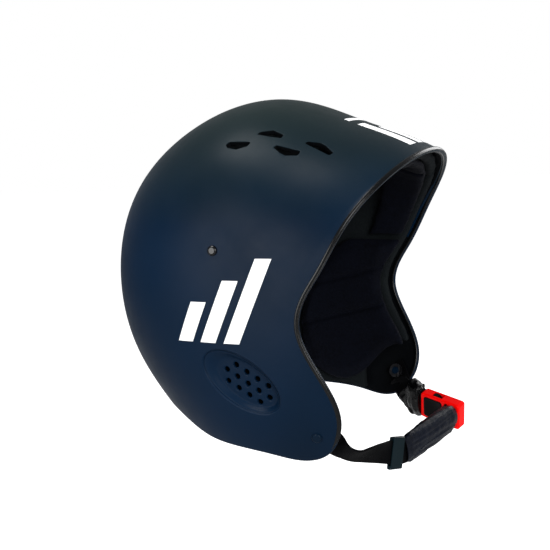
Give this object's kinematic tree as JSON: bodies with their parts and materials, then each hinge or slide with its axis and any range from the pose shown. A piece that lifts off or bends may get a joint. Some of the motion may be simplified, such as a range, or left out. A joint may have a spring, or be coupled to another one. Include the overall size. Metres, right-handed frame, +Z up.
{
  "type": "water helmet",
  "caption": "Whitewater helmet shell with raised ear pockets, slotted crown vents, foam liner with comfort pads, rubber face trim and a padded chin strap closed by a side-squeeze buckle.",
  "frame": {"origin": "centre of the head space, on the line between the two widest points of the shell", "axes": "+Z up towards the crown, -Y forwards out of the face opening, +X to the wearer's left"},
  "size_m": [0.211, 0.2381, 0.2527],
  "materials": {
    "shell": "satin moulded ABS, dark navy",
    "trim_rubber": "matte extruded edge trim",
    "rivet_black": "gloss black dome rivet",
    "rivet_navy": "painted to match the shell",
    "washer_steel": "plain stainless",
    "foam": "closed-cell EVA foam, grey green",
    "pad_fabric": "brushed knit over soft foam, near black",
    "webbing": "woven polyester webbing",
    "sleeve_fabric": "padded chin sleeve, fine knit",
    "slider_plastic": "moulded acetal",
    "buckle_red": "semi-gloss red acetal",
    "buckle_black": "semi-gloss black acetal"
  },
  "bodies": {
    "helmet": {"outer_shell": "shell", "ear_grille_right": "shell", "ear_grille_left": "shell", "face_trim": "trim_rubber", "upper_rivets": "rivet_black", "lower_rivets": "rivet_navy", "upper_washers": "washer_steel", "lower_washers": "washer_steel", "foam_front": "foam", "foam_crown": "foam", "foam_rear": "foam", "foam_right": "foam", "foam_left": "foam", "brow_pad": "pad_fabric", "crown_pad": "pad_fabric", "nape_pad": "pad_fabric", "cheek_pad_right": "pad_fabric", "cheek_pad_left": "pad_fabric", "strap_anchor_right": "webbing", "strap_anchor_left": "webbing"},
    "chin_strap": {"right_strap": "webbing", "strap_return": "webbing", "chin_sleeve": "sleeve_fabric", "buckle_housing": "buckle_red"},
    "slider": {"strap_slider": "slider_plastic"},
    "far_strap": {"left_strap": "webbing"},
    "latch": {"buckle_latch": "buckle_black"},
    "upper_prong": {"prong_upper": "buckle_black"},
    "lower_prong": {"prong_lower": "buckle_black"}
  },
  "joints": [
    {"name": "strap_swing", "type": "hinge", "parent": "helmet", "child": "chin_strap", "pos_m": [0, -0.057, -0.108], "axis": [1, 0, 0], "range_deg": [-60, 100]},
    {"name": "far_strap_swing", "type": "hinge", "parent": "helmet", "child": "far_strap", "pos_m": [0, -0.057, -0.108], "axis": [1, 0, 0], "range_deg": [-60, 100]},
    {"name": "slider_adjust", "type": "slide", "parent": "chin_strap", "child": "slider", "axis": [0.9104, -0.367, -0.1911], "range_m": [-0.012, 0]},
    {"name": "buckle_release", "type": "slide", "parent": "far_strap", "child": "latch", "axis": [0.2939, 0.9395, 0.1759], "range_m": [0, 0.02], "deforming": ["left_strap", "prong_upper", "prong_lower"]},
    {"name": "prong_upper_squeeze", "type": "slide", "parent": "latch", "child": "upper_prong", "axis": [0.2979, 0.085, -0.9508], "range_m": [0, 0.0025], "stiffness_N_per_m": 800},
    {"name": "prong_lower_squeeze", "type": "slide", "parent": "latch", "child": "lower_prong", "axis": [-0.2979, -0.085, 0.9508], "range_m": [0, 0.0025], "stiffness_N_per_m": 800}
  ],
  "couplings": [
    {"joint": "far_strap_swing", "follows": "strap_swing", "ratio": 1}
  ]
}
